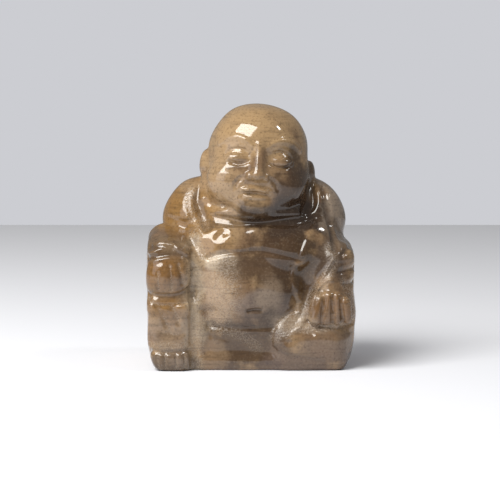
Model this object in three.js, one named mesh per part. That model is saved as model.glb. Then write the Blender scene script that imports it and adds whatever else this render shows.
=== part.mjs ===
// A seated laughing buddha, carved in one piece from a block of banded brown stone.
// The right knee is raised with the right hand on it, the left leg lies folded flat, and the left hand
// hangs over it from a wide sleeve. The robe is open over the chest and the belly.
// Units are millimetres, +Z is up, the figure faces -Y, and the origin is under its middle.
import * as THREE from 'three';
import { mergeVertices } from 'three/addons/utils/BufferGeometryUtils.js';

// Driving dimensions
const HEIGHT = 48.9;
const WIDTH = 38.7;
const DEPTH = 27;
const HEAD_HEIGHT = 20.4;
const HEAD_TILT = 5.5;
const KNEE_WIDTH = 8.4;
const CLOTH = 0.6;
const BLOCK_EDGE = 3.2;
const UNDER_EDGE = 0.5;

// Places that follow from them
const SIDE = WIDTH / 2;
const FRONT = -DEPTH / 2;
const BACK = DEPTH / 2;
const CROWN_TO_EARS = HEAD_HEIGHT / 2 + 0.3;
const HEAD_CENTRE = [1.4, -0.6, HEIGHT - CROWN_TO_EARS];
const KNEE_X = -SIDE + KNEE_WIDTH / 2;

// The skin's triangles
const SKIN_FACES = 9800;
const SHORTEST_EDGE = 0.4;
const LOOSE = 3;

const rad = THREE.MathUtils.degToRad;
const point = (p) => new THREE.Vector3(...p);
const sides = (make) => [-1, 1].map(make);

// A form takes a point and gives its distance from the surface, negative inside.
// Each one may be turned, by three angles in degrees about X, Y and Z.
function placed(centre, turn, distance) {
  const toForm = new THREE.Matrix4()
    .makeRotationFromEuler(new THREE.Euler(...turn.map(rad)))
    .setPosition(...centre)
    .invert();
  const q = new THREE.Vector3();
  return (p) => distance(q.copy(p).applyMatrix4(toForm));
}

function egg(centre, [rx, ry, rz], turn = [0, 0, 0]) {
  return placed(centre, turn, (q) => {
    const near = Math.hypot(q.x / rx, q.y / ry, q.z / rz);
    const slope = Math.hypot(q.x / rx ** 2, q.y / ry ** 2, q.z / rz ** 2);
    return slope > 1e-9 ? (near * (near - 1)) / slope : -Math.min(rx, ry, rz);
  });
}

function block(centre, [hx, hy, hz], round, turn = [0, 0, 0]) {
  return placed(centre, turn, (q) => {
    const x = Math.abs(q.x) - hx + round;
    const y = Math.abs(q.y) - hy + round;
    const z = Math.abs(q.z) - hz + round;
    const outside = Math.hypot(Math.max(x, 0), Math.max(y, 0), Math.max(z, 0));
    return outside + Math.min(Math.max(x, y, z), 0) - round;
  });
}

function limb(from, to, fromRadius, toRadius = fromRadius) {
  const a = point(from);
  const along = point(to).sub(a);
  const reach = along.lengthSq();
  const q = new THREE.Vector3();
  return (p) => {
    const t = THREE.MathUtils.clamp(q.subVectors(p, a).dot(along) / reach, 0, 1);
    return q.addScaledVector(along, -t).length() - THREE.MathUtils.lerp(fromRadius, toRadius, t);
  };
}

// Joins two distances with a fillet about as wide as soft.
function softMin(a, b, soft) {
  const h = Math.max(soft - Math.abs(a - b), 0) / soft;
  return Math.min(a, b) - h * h * soft * 0.25;
}

const softMax = (a, b, soft) => -softMin(-a, -b, soft);

function join(soft, ...forms) {
  return (p) => forms.reduce((sum, form) => softMin(sum, form(p), soft), 1e3);
}

function cut(form, soft, ...tools) {
  return (p) => tools.reduce((sum, tool) => softMax(sum, -tool(p), soft), form(p));
}

// Far from a form, the distance to a ball around it is close enough.
function within(centre, reach, form) {
  const middle = point(centre);
  return (p) => {
    const far = p.distanceTo(middle) - reach;
    return far > LOOSE + 1 ? far : form(p);
  };
}

// Moves a point in a straight line until it lands on the form.
function cast(form, start, direction) {
  const p = start.clone();
  for (let step = 0; step < 90; step++) {
    const gap = form(p);
    if (Math.abs(gap) < 0.004) break;
    p.addScaledVector(direction, gap * 0.8);
  }
  return p;
}

const smooth = (line) => new THREE.SplineCurve(line.map(([x, z]) => new THREE.Vector2(x, z)));

// The run of a tool with a round tip, along a smooth line drawn on the form as seen from the front
// or from the back. A lift above zero carries the tool off the surface, so that it bites less deep.
function stroke(form, line, radius, lift = 0, view = 1) {
  const towards = new THREE.Vector3(0, view, 0);
  const path = smooth(line).getSpacedPoints(4 * (line.length - 1)).map((at) =>
    cast(form, new THREE.Vector3(at.x, -30 * view, at.y), towards).addScaledVector(towards, -lift),
  );
  const around = new THREE.Box3().setFromPoints(path).getBoundingSphere(new THREE.Sphere());
  const segment = new THREE.Line3();
  const nearest = new THREE.Vector3();
  return within(around.center.toArray(), around.radius + radius, (p) => {
    let closest = Infinity;
    for (let i = 1; i < path.length; i++) {
      segment.set(path[i - 1], path[i]).closestPointToPoint(p, true, nearest);
      closest = Math.min(closest, nearest.distanceToSquared(p));
    }
    return Math.sqrt(closest) - radius;
  });
}

// A thickness of cloth laid over the front, inside a smooth closed outline. It thins out to the sides.
function patch(outline, thickness, soft) {
  const rim = smooth([...outline, outline[0]]).getSpacedPoints(4 * outline.length);
  const extent = new THREE.Box2().setFromPoints(rim).expandByScalar(LOOSE);
  const at = new THREE.Vector2();
  const edge = (p) => {
    at.set(p.x, p.z);
    if (!extent.containsPoint(at)) return 2 * LOOSE;
    let inside = false;
    let closest = Infinity;
    for (let i = 1; i < rim.length; i++) {
      const a = rim[i - 1];
      const b = rim[i];
      const [ux, uz] = [b.x - a.x, b.y - a.y];
      const t = THREE.MathUtils.clamp(((p.x - a.x) * ux + (p.z - a.y) * uz) / (ux * ux + uz * uz), 0, 1);
      closest = Math.min(closest, (p.x - a.x - t * ux) ** 2 + (p.z - a.y - t * uz) ** 2);
      if (a.y > p.z !== b.y > p.z && p.x < a.x + ((p.z - a.y) / uz) * ux) inside = !inside;
    }
    return inside ? -Math.sqrt(closest) : Math.sqrt(closest);
  };
  return (p, under) => {
    const towardsSide = THREE.MathUtils.smoothstep(Math.abs(p.x), 14, 18.5);
    const height = thickness * THREE.MathUtils.smoothstep(-p.y, 1.5, 7) * (1 - towardsSide);
    return height > 0 ? softMin(under, softMax(under - height, edge(p), soft), 0.2) : under;
  };
}

function lay(form, ...patches) {
  return (p) => patches.reduce((under, add) => add(p, under), form(p));
}

const across = (line) => line.map(([x, z]) => [-x, z]);
const onBothSides = (line) => [line, across(line)];

// The head is drawn in its own frame, with the origin between the ears.
function bareHead() {
  const skull = egg([-0.1, 0.9, 0.8], [9.2, 9.0, 9.4]);
  const brow = egg([0, 0.2, 3.2], [8.2, 8.5, 6.4]);
  const lower = egg([0, -1.2, -3.0], [9.5, 8.0, 7.0]);
  const jowl = egg([0, -1.3, -7.2], [9.2, 7.6, 3.9]);
  const cheeks = sides((s) => egg([s * 4.9, -5.2, -4.1], [3.9, 3.5, 3.5]));
  const chin = egg([0, -7.6, -8.3], [3.0, 1.9, 1.7]);
  return join(1.6, join(2.0, skull, brow, lower, jowl, ...cheeks), chin);
}

function face() {
  const sockets = sides((s) => egg([s * 3.9, -9.6, 1.2], [2.9, 1.7, 1.6]));
  const lids = sides((s) => egg([s * 3.9, -6.9, 0.3], [2.5, 1.5, 1.15], [0, s * 6, 0]));
  const pouches = sides((s) => egg([s * 4.1, -7.0, -1.4], [2.2, 1.2, 0.7], [0, s * 10, 0]));
  const noseTip = egg([0, -9.6, -2.4], [1.3, 1.2, 1.05]);
  const nose = join(0.6, limb([0, -7.9, 3], [0, -9.3, -2.0], 0.8, 1.1), noseTip);
  const wings = sides((s) => egg([s * 1.5, -8.8, -2.7], [0.9, 1.1, 0.8]));
  const upperLip = sides((s) => egg([s * 1.2, -8.6, -5.1], [1.9, 1.1, 0.65], [0, s * 8, 0]));
  const lowerLip = egg([0, -8.5, -6.4], [2.2, 1.1, 0.75]);
  const modelled = join(0.9, cut(bareHead(), 1.4, ...sockets), nose, ...pouches);
  return join(0.4, modelled, ...wings, ...lids, ...upperLip, lowerLip);
}

function head() {
  const form = face();
  const mouth = stroke(form, [[-3.2, -5.4], [-1.6, -5.85], [0, -5.8], [1.6, -5.85], [3.2, -5.4]], 0.4, 0.05);
  const lashes = onBothSides([[1.7, 0.2], [2.8, -0.45], [4.0, -0.7], [5.2, -0.4], [6.3, 0.3]]);
  const lidFolds = onBothSides([[1.9, 1.3], [3.0, 1.95], [4.1, 2.1], [5.3, 1.8], [6.2, 1.1]]);
  const brows = onBothSides([[1.4, 2.9], [2.6, 3.8], [4.2, 4.15], [5.9, 3.7], [7.1, 2.6]]);
  const smiles = onBothSides([[2.5, -2.7], [3.6, -3.9], [4.2, -5.5]]);
  const underChin = [[-6.6, -8.6], [-4, -10.0], [0, -10.6], [4, -10.0], [6.6, -8.6]];
  const carved = cut(
    form,
    0.35,
    mouth,
    ...lashes.map((line) => stroke(form, line, 0.36)),
    ...lidFolds.map((line) => stroke(form, line, 0.3, 0.05)),
    ...smiles.map((line) => stroke(form, line, 0.6, 0.3)),
    stroke(form, underChin, 0.7, 0.25),
  );
  const ears = sides((s) =>
    join(
      0.7,
      egg([s * 9.6, 1.1, -1.9], [1.3, 2.1, 2.6], [0, 0, s * -8]),
      limb([s * 9.4, -0.2, -4.2], [s * 9.3, -2.2, -8.4], 0.85, 1.25),
    ),
  );
  const whole = join(0.6, join(0.5, carved, ...brows.map((line) => stroke(form, line, 0.5, -0.25))), ...ears);
  return within(HEAD_CENTRE, 14.5, placed(HEAD_CENTRE, [0, HEAD_TILT, 0], whole));
}

// The seat, the back, the shoulders and the two sides of the robe
function trunk() {
  const seat = block([0.1, 1.4, 2], [SIDE - 0.9, 11.1, 5.4], 3.2);
  const hips = egg([0.2, 3.2, 11], [15.5, 10.2, 15]);
  const back = egg([0.6, 3.0, 24.5], [14.8, 9.4, 10.6]);
  const shoulders = sides((s) => egg([0.6 + s * 9.7, 2.1, 27], [7.5, 7.3, 7.9]));
  const nape = egg([1.0, 1.8, 32.8], [9.8, 7.4, 4.2]);
  const walls = sides((s) => block([s * (SIDE - 4.6), 0.6, 11.4], [4.6, 9.6, 12.0], 3.2));
  return join(2.2, seat, hips, back, nape, ...shoulders, ...walls);
}

function chestAndBelly() {
  const breasts = sides((s) => egg([0.6 + s * 4.9, -4.0, 22.8], [7.4, 5.9, 4.9]));
  const slopes = sides((s) => egg([0.6 + s * 5.0, -7.3, 24.1], [7.4, 2.1, 4.2], [-32, 0, s * 11]));
  const neck = egg([1.2, -3.0, 28.8], [10, 6.0, 2.6]);
  const belly = egg([-0.7, -3.2, 14.4], [12.4, 9.2, 10.2]);
  const bellyTop = egg([-5.0, -8.1, 18.0], [6.5, 3.0, 3.6]);
  const lap = block([-0.8, -4, 4.6], [8.0, 6.4, 5.4], 2.6);
  const besideKnee = block([-10.8, -4, 10.5], [2, 5.8, 11.0], 1.8);
  const rim = block([0.2, -3.3, 0.2], [SIDE - 1.5, 7.6, 3.0], 1.6);
  return join(0.8, join(2.0, ...breasts, ...slopes, belly, bellyTop, lap, besideKnee), neck, rim);
}

// The raised right leg, with the cuff and the hand on its knee and the foot under its hem
function raisedLeg() {
  const half = KNEE_WIDTH / 2;
  const shin = block([KNEE_X, FRONT + 7.0, 11.2], [half - 0.3, 5.7, 11.6], 2.0);
  const hem = block([KNEE_X, FRONT + 6.6, 11.8], [half - 0.15, 5.8, 1.5], 1.2, [0, 2, 0]);
  const hand = block([KNEE_X, FRONT + 5.8, 17.9], [half, 5.4, 4.0], 3.0, [-4, 0, 0]);
  const cuff = block([KNEE_X + 0.1, FRONT + 8.0, 22.2], [half + 0.05, 7.0, 3.2], 3.1, [16, 4, 0]);
  const foot = block([KNEE_X + 0.1, FRONT + 6.6, 1.6], [half - 0.3, 5.6, 2.7], 2.2);
  return join(0.8, shin, hem, hand, cuff, foot);
}

// The folded left leg, with the sleeve and the hand that hang over it
function foldedLeg() {
  const leg = block([SIDE - 8.4, FRONT + 8.0, 3.7], [7.3, 6.1, 5.0], 3.2);
  const drapery = egg([11.8, -2.4, 19], [5.6, 5.8, 9.2]);
  const drapeEnd = limb([11.4, -5.6, 12], [7.0, -7.0, 7.0], 3.2, 3.0);
  const sleeve = limb([15.5, -7.8, 20.2], [14.8, -6.6, 10.8], 1.9, 4.7);
  const hand = block([15.2, FRONT + 4.6, 11.5], [3.4, 3.4, 3.5], 2.4, [-8, 4, 0]);
  return join(0.6, join(1.0, leg, join(1.6, drapery, drapeEnd), sleeve), hand);
}

// The robe's edges and hems stand one thickness of cloth above what they cover.
function clothed(form) {
  const overRightShoulder = [
    [-7.6, 37.5], [-9.1, 35.9], [-10.7, 33.3], [-11.7, 30.8], [-11.3, 28.6], [-11.2, 27.2],
    [-14, 27.2], [-20, 29], [-20, 38], [-12, 41],
  ];
  const overLeftShoulder = [
    [11.2, 37], [12.7, 33.4], [13.4, 30.6], [12.9, 28.0], [11.0, 26.6], [10.0, 25.2], [8.6, 20.9],
    [7.2, 18.6], [7.0, 17.0], [7.6, 14.9], [8.5, 12.3], [8.1, 10.9], [6.4, 10.2], [4.7, 8.7], [3.9, 7.0],
    [4.1, 4.2], [8, 3.0], [24, 3], [24, 40], [12, 41],
  ];
  const sleeveHem = [
    [15.1, 21.6], [12.9, 18.4], [10.1, 12.8], [8.9, 9.8], [6.2, 5.9],
    [7.6, 5.2], [10.2, 8.6], [11.4, 11.6], [14.0, 17.2], [16.0, 20.4],
  ];
  const outlines = [overRightShoulder, overLeftShoulder, sleeveHem];
  return lay(form, ...outlines.map((outline) => patch(outline, CLOTH, 0.9)));
}

// The lines that the carver ran into the body: each as seen from the front, the tool's radius and its lift
const LINES_IN_FRONT = {
  underBreasts: [[[-7.8, 21.0], [-5.4, 21.7], [-2.0, 22.0], [2.2, 22.1], [7.0, 21.1], [9.4, 20.3]], 0.6, 0.2],
  underBelly: [[[-7.8, 8.2], [-4, 7.9], [0, 7.8], [4.0, 7.9]], 0.45, 0.1],
  navel: [[[-0.5, 11.2], [0.6, 11.35], [1.7, 11.3]], 0.45, 0],
  besideKnee: [[[-10.9, 21.8], [-10.8, 19], [-10.7, 12], [-10.6, 6], [-10.4, 0]], 0.7, 0.15],
  neckRight: [[[-8.6, 34.6], [-9.8, 31], [-9.2, 28.4], [-8.2, 26.6]], 1.2, 0.5],
  neckLeft: [[[10.8, 34], [11.2, 31.4], [10.6, 29.2]], 1.5, 0.6],
  underNeck: [[[-7.6, 27.4], [-3, 27.0], [4, 27.0], [9, 27.2], [11.8, 27.9]], 0.4, 0.1],
  besideSleeve: [[[13.6, 33], [14.5, 29], [15.1, 25], [15.6, 22.6]], 0.8, 0.3],
  cuff: [[[-19.3, 20.9], [-18, 21.3], [-16.3, 21.6], [-14.9, 21.75], [-12.8, 21.5], [-11.3, 20.9]], 0.45, 0],
  cuffFold: [[[-18.9, 22.9], [-16.6, 23.3], [-14.4, 22.9]], 0.5, 0.25],
  sleeveEdge: [[[-14.2, 24.2], [-12.8, 23.4], [-11.4, 22.2]], 0.45, 0.2],
  underHand: [[[-19.0, 14.3], [-16.2, 14.1], [-12.8, 14.3], [-11.1, 15.4]], 0.45, 0.1],
  finger1: [[[-17.0, 19.4], [-17.0, 17.5], [-16.9, 15.4]], 0.4, 0.15],
  finger2: [[[-14.8, 19.9], [-14.6, 17.5], [-14.5, 15.2]], 0.4, 0.1],
  finger3: [[[-12.8, 19.6], [-12.4, 17.5], [-12.2, 15.6]], 0.4, 0.1],
  hem: [[[-19.1, 3.9], [-15.1, 3.6], [-11.5, 3.9]], 0.45, 0.15],
  toe1: [[[-15.85, 3.2], [-15.65, 0.4]], 0.4, 0.15],
  toe2: [[[-13.85, 3.2], [-13.65, 0.4]], 0.4, 0.15],
  toe3: [[[-12.3, 3.2], [-12.1, 0.4]], 0.4, 0.15],
  hangingFinger1: [[[13.6, 14.2], [13.7, 12], [13.9, 9.4]], 0.42, 0.05],
  hangingFinger2: [[[15.4, 14.6], [15.5, 12], [15.7, 9.4]], 0.42, 0.05],
  hangingFinger3: [[[17.0, 14.0], [17.1, 12], [17.3, 9.4]], 0.42, 0.05],
  besideFingers: [[[11.6, 14.2], [11.3, 12.2], [11.2, 10]], 0.45, 0.15],
  underFingers: [[[11.4, 8.5], [15, 8.3], [19, 8.5]], 0.45, 0.1],
  legFold: [[[7.0, 5.4], [8.4, 7.2], [11.4, 7.0]], 0.4, 0.2],
  sideFold1: [[[16.6, 18.2], [18.0, 18.5], [19.4, 18.8]], 0.4, 0.15],
  sideFold2: [[[17.2, 15.9], [18.2, 15.9], [19.4, 16.1]], 0.4, 0.15],
  sideFold3: [[[16.9, 21.4], [17.8, 22.1], [18.8, 23.0]], 0.4, 0.15],
};

// The robe's folds and collar, as seen from behind
const LINES_BEHIND = {
  fromShoulder: [[[-14, 28], [-8, 20], [0, 15], [8, 13], [15, 13]], 1.1, 0.5],
  acrossBack: [[[-10, 32], [-3, 25.5], [5, 22], [14, 21]], 1.1, 0.55],
  overSeat: [[[-17, 17], [-10, 10], [0, 6.5], [12, 6]], 1.1, 0.5],
  collar: [[[-7.4, 33.4], [-2, 31.8], [5, 31.8], [10, 33]], 0.9, 0.3],
};

function carve(form) {
  const inFront = Object.values(LINES_IN_FRONT).map((line) => stroke(form, ...line));
  const behind = Object.values(LINES_BEHIND).map((line) => stroke(form, ...line, -1));
  return cut(form, 0.6, ...inFront, ...behind);
}

// How much finer the skin is near the face, the hands and the toes
function focus(p) {
  const near = (x, y, z, size) => Math.exp(-((p.x - x) ** 2 + (p.y - y) ** 2 + (p.z - z) ** 2) / size ** 2);
  const hands = near(KNEE_X, FRONT, 17, 4.5) + near(15.2, FRONT, 12, 4.5);
  const face = near(HEAD_CENTRE[0], FRONT + 4, HEAD_CENTRE[2] - 1, 7.5);
  const crease = near(1, FRONT + 3, 22, 5);
  return 1 + 1.5 * face + 1.2 * hands + 0.8 * near(KNEE_X, FRONT, 2, 4) + crease;
}

// The skin is a net of triangles over the form: points, the form's directions there, and faces.
function castBall(form) {
  const ball = new THREE.IcosahedronGeometry(1, 9);
  ball.deleteAttribute('normal');
  ball.deleteAttribute('uv');
  const round = mergeVertices(ball, 1e-5);
  const around = new THREE.Vector3(SIDE + 8, BACK + 8, HEIGHT / 2 + 8);
  const loose = (p) => form(p) - LOOSE;
  const points = [];
  for (let i = 0; i < round.getAttribute('position').count; i++) {
    const start = new THREE.Vector3().fromBufferAttribute(round.getAttribute('position'), i);
    start.multiply(around).setZ(start.z + HEIGHT / 2);
    const core = new THREE.Vector3(0.5, 0.5, THREE.MathUtils.mapLinear(start.z, -8, HEIGHT + 8, 9, 39));
    points.push(cast(loose, start, core.sub(start).normalize()));
  }
  const faces = [];
  for (let i = 0; i < round.index.count; i += 3) faces.push([...round.index.array.slice(i, i + 3)]);
  return { form, away: LOOSE, points, faces, normals: points.map(() => new THREE.Vector3()) };
}

const CORNERS = [[1, 1, 1], [1, -1, -1], [-1, 1, -1], [-1, -1, 1]].map(point);
const probe = new THREE.Vector3();

// Brings one point of the net back to the form, or to where it still stands away from it.
function settle(net, i) {
  const slope = net.normals[i].set(0, 0, 0);
  let gap = 0;
  for (const corner of CORNERS) {
    const distance = net.form(probe.copy(net.points[i]).addScaledVector(corner, 0.01)) - net.away;
    slope.addScaledVector(corner, distance * 25);
    gap += distance / 4;
  }
  net.points[i].addScaledVector(slope, -THREE.MathUtils.clamp(gap, -1, 1) / Math.max(slope.lengthSq(), 0.3));
  slope.normalize();
}

const edgeKey = (a, b) => Math.min(a, b) * 65536 + Math.max(a, b);

function edgesOf(faces) {
  const edges = new Map();
  faces.forEach((face, f) => {
    face.forEach((a, k) => {
      const b = face[(k + 1) % 3];
      if (!edges.has(edgeKey(a, b))) edges.set(edgeKey(a, b), { a, b, sides: [] });
      edges.get(edgeKey(a, b)).sides.push({ f, apex: face[(k + 2) % 3] });
    });
  });
  return edges;
}

// Evens the net out: every point moves towards the middle of its neighbours.
function relax(net, share) {
  const sums = net.points.map(() => new THREE.Vector3());
  const counts = net.points.map(() => 0);
  for (const { a, b } of edgesOf(net.faces).values()) {
    sums[a].add(net.points[b]);
    sums[b].add(net.points[a]);
    counts[a]++;
    counts[b]++;
  }
  net.points.forEach((p, i) => {
    p.lerp(sums[i].divideScalar(counts[i]), share);
    settle(net, i);
    settle(net, i);
  });
}

// Splits the edges that are long, or that leave the form most, each with the faces on both sides of it.
function split(net, most) {
  const need = ({ a, b }) => {
    let miss = 0;
    for (const t of [0.25, 0.5, 0.75]) {
      miss = Math.max(miss, Math.abs(net.form(probe.lerpVectors(net.points[a], net.points[b], t))));
    }
    const length = net.points[a].distanceTo(net.points[b]);
    return length > SHORTEST_EDGE ? focus(net.points[a]) * (0.08 * length + miss) : 0;
  };
  const edges = [...edgesOf(net.faces).values()].map((edge) => ({ ...edge, need: need(edge) }));
  edges.sort((one, other) => other.need - one.need);
  const busy = new Set();
  const before = net.faces.length;
  for (const { a, b, sides: both } of edges) {
    if (net.faces.length >= Math.min(most, before * 1.16)) break;
    if (both.some(({ f }) => busy.has(f))) continue;
    const middle = net.points.push(net.points[a].clone().lerp(net.points[b], 0.5)) - 1;
    net.normals.push(new THREE.Vector3());
    settle(net, middle);
    for (const { f } of both) {
      busy.add(f);
      net.faces.push(net.faces[f].map((v) => (v === a ? middle : v)));
      net.faces[f] = net.faces[f].map((v) => (v === b ? middle : v));
    }
  }
}

// Turns an edge across its two faces where that makes them less slender.
function flip(net) {
  const edges = edgesOf(net.faces);
  const used = new Set(edges.keys());
  const meeting = net.points.map(() => 0);
  for (const { a, b } of edges.values()) {
    meeting[a]++;
    meeting[b]++;
  }
  const busy = new Set();
  const corner = (at, from, to) => {
    const p = net.points[at];
    return net.points[from].clone().sub(p).angleTo(net.points[to].clone().sub(p));
  };
  const facing = (a, b, c) => {
    const normal = new THREE.Vector3();
    new THREE.Triangle(net.points[a], net.points[b], net.points[c]).getNormal(normal);
    return Math.min(normal.dot(net.normals[a]), normal.dot(net.normals[b]), normal.dot(net.normals[c]));
  };
  for (const { a, b, sides: [one, other] } of edges.values()) {
    const [c, d] = [one.apex, other.apex];
    if (busy.has(one.f) || busy.has(other.f) || used.has(edgeKey(c, d))) continue;
    if (Math.min(meeting[a], meeting[b]) < 5 || corner(c, a, b) + corner(d, a, b) < Math.PI + 0.05) continue;
    const before = Math.min(facing(a, b, c), facing(b, a, d));
    if (Math.min(facing(a, d, c), facing(d, b, c)) < Math.min(before, 0.6)) continue;
    net.faces[one.f] = [a, d, c];
    net.faces[other.f] = [d, b, c];
    busy.add(one.f).add(other.f);
    used.add(edgeKey(c, d));
    meeting[a]--;
    meeting[b]--;
    meeting[c]++;
    meeting[d]++;
  }
}

function skin(form) {
  const net = castBall(form);
  for (; net.away > 0; net.away = Math.max(0, net.away - 0.1)) relax(net, 0.5);
  for (let pass = 0; pass < 6; pass++) relax(net, 0.5);
  while (net.faces.length < SKIN_FACES) {
    split(net, SKIN_FACES);
    flip(net);
    flip(net);
    relax(net, 0.35);
    relax(net, 0.35);
  }
  for (let pass = 0; pass < 4; pass++) {
    flip(net);
    relax(net, 0.25);
  }
  net.points.forEach((p, i) => {
    settle(net, i);
    if (p.z < 0.05) p.z = 0;
  });
  const geometry = new THREE.BufferGeometry().setFromPoints(net.points).setIndex(net.faces.flat());
  geometry.computeVertexNormals();
  return geometry;
}

const stone = new THREE.MeshStandardMaterial({ color: 0x8c7257, roughness: 0.22, metalness: 0 });

function carving() {
  const body = carve(clothed(join(1.2, trunk(), chestAndBelly(), raisedLeg(), foldedLeg())));
  const whole = join(0.8, body, head());
  const sawnBlock = block([0, 0, 30], [SIDE + 0.3, BACK, 30.6], BLOCK_EDGE);
  const standing = (p) => softMax(softMax(whole(p), sawnBlock(p), 0.8), -p.z, UNDER_EDGE);
  const mesh = new THREE.Mesh(skin(standing), stone);
  mesh.name = 'buddha_carving';
  return mesh;
}

const buddha = new THREE.Group();
buddha.add(carving());

export default buddha;
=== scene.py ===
# Small laughing buddha, carved in one piece from banded brown petrified wood and polished to a gloss.
# The figure faces -Y and stands on the floor at z = 0. Its forms are in mm and its mesh is in metres.
from math import cos, radians, sin

import bmesh
import bpy
import numpy as np
from mathutils import Euler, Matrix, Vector


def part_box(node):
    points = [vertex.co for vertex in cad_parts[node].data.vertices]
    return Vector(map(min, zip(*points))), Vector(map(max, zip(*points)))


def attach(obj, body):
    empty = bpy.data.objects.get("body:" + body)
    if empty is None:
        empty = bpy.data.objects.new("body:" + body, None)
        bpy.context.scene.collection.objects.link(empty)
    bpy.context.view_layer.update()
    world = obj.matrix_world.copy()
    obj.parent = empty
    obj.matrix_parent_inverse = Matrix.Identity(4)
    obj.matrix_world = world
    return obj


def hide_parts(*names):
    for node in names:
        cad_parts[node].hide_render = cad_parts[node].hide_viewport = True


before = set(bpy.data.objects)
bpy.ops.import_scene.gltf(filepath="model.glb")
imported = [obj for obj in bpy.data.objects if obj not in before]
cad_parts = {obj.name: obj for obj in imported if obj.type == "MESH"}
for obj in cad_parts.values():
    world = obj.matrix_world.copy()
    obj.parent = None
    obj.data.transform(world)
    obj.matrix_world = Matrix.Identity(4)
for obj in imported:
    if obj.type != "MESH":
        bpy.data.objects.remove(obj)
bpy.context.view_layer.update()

mm = 0.001
figureName = "buddha_carving"
figureLow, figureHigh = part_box(figureName)

figure = {
    "height": (figureHigh.z - figureLow.z) / mm + 0.1,   # the solid's facets cut a little off the crown
    "width": (figureHigh.x - figureLow.x) / mm - 0.25,   # and its hands and knee stand out a little
    "depth": 27.0,                                       # of the sawn block, which the carving nearly fills
    "edge": 3.2,                                         # rounding of the sawn block's edges
    "underEdge": 0.5,                                    # rounding round the flat underside
    # the lower corners, ground off: how steep on the left and right, how far down, how far out, how soft
    "lowerCorners": {"left": 0.85, "right": 0.87, "down": 0.49, "out": 15.5, "soft": 2.5},
}
halfWidth = figure["width"] / 2
frontY = -figure["depth"] / 2


# Forms. Each one takes an array of points and gives their distances from its surface, negative inside.
# Where forms are joined or cut, soft is the width of the fillet between them in mm.

def placed(centre, turn, distance):
    # the turns are in degrees about X, Y and Z, the last one first
    toForm = np.array(Euler([radians(a) for a in turn], "ZYX").to_matrix())
    return lambda p: distance((p - np.array(centre, float)) @ toForm)


def egg(centre, radii, turn=(0, 0, 0)):
    radii = np.array(radii, float)

    def distance(q):
        near = np.linalg.norm(q / radii, axis=1)
        slope = np.linalg.norm(q / radii ** 2, axis=1)
        return near * (near - 1) / np.maximum(slope, 1e-9)

    return placed(centre, turn, distance)


def block(centre, halves, rounding, turn=(0, 0, 0)):
    halves = np.array(halves, float)

    def distance(q):
        over = np.abs(q) - halves + rounding
        outside = np.linalg.norm(np.maximum(over, 0), axis=1)
        return outside + np.minimum(over.max(axis=1), 0) - rounding

    return placed(centre, turn, distance)


def limb(start, end, startRadius, endRadius):
    start = np.array(start, float)
    along = np.array(end, float) - start

    def distance(p):
        t = np.clip((p - start) @ along / (along @ along), 0, 1)
        gap = p - start - t[:, None] * along
        return np.linalg.norm(gap, axis=1) - (startRadius + (endRadius - startRadius) * t)

    return distance


def softMin(a, b, soft):
    h = np.maximum(soft - np.abs(a - b), 0) / soft
    return np.minimum(a, b) - h * h * soft * 0.25


def softMax(a, b, soft):
    return -softMin(-a, -b, soft)


def join(soft, *forms):
    def distance(p):
        total = forms[0](p)
        for form in forms[1:]:
            total = softMin(total, form(p), soft)
        return total

    return distance


def pair(form, middle=0.0):
    # a form given on the viewer's right, and its like on the left
    def other(p):
        return form(np.column_stack([2 * middle - p[:, 0], p[:, 1], p[:, 2]]))

    return [other, form]


def cut(form, soft, *tools):
    def distance(p):
        total = form(p)
        for tool in tools:
            total = softMax(total, -tool(p), soft)
        return total

    return distance


def within(centre, reach, form, slack=2.0):
    # saves time: far away, the distance to a ball round the form will do
    centre = np.array(centre, float)

    def distance(p):
        gap = np.linalg.norm(p - centre, axis=1) - reach
        close = gap < slack
        if close.any():
            gap[close] = form(p[close])
        return gap

    return distance


def smoothstep(x, low, high):
    t = np.clip((x - low) / (high - low), 0, 1)
    return t * t * (3 - 2 * t)


def cast(form, starts, direction, steps=26, share=0.9):
    # moves points straight ahead until they land on the form
    p = starts.copy()
    for step in range(steps):
        p += np.array(direction, float) * form(p)[:, None] * share
    return p


def smoothLine(line, perSpan, fineness=24):
    # a curve through the line's points, as evenly spaced points, perSpan for each of its spans
    points = np.array(line, float)
    before = points[np.maximum(np.arange(len(points) - 1) - 1, 0)]
    after = points[np.minimum(np.arange(len(points) - 1) + 2, len(points) - 1)]
    fine = []
    a, b = points[:-1], points[1:]
    v0, v1 = (b - before) / 2, (after - a) / 2
    cubic, square = 2 * a - 2 * b + v0 + v1, -3 * a + 3 * b - 2 * v0 - v1
    for t in np.linspace(0, 1, fineness, endpoint=False):
        fine.append(cubic * t ** 3 + square * t ** 2 + v0 * t + a)
    fine = np.vstack([np.stack(fine, axis=1).reshape(-1, points.shape[1]), points[-1:]])
    run = np.concatenate([[0], np.cumsum(np.linalg.norm(np.diff(fine, axis=0), axis=1))])
    even = np.linspace(0, run[-1], perSpan * (len(points) - 1) + 1)
    return np.column_stack([np.interp(even, run, fine[:, k]) for k in range(points.shape[1])])


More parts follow.
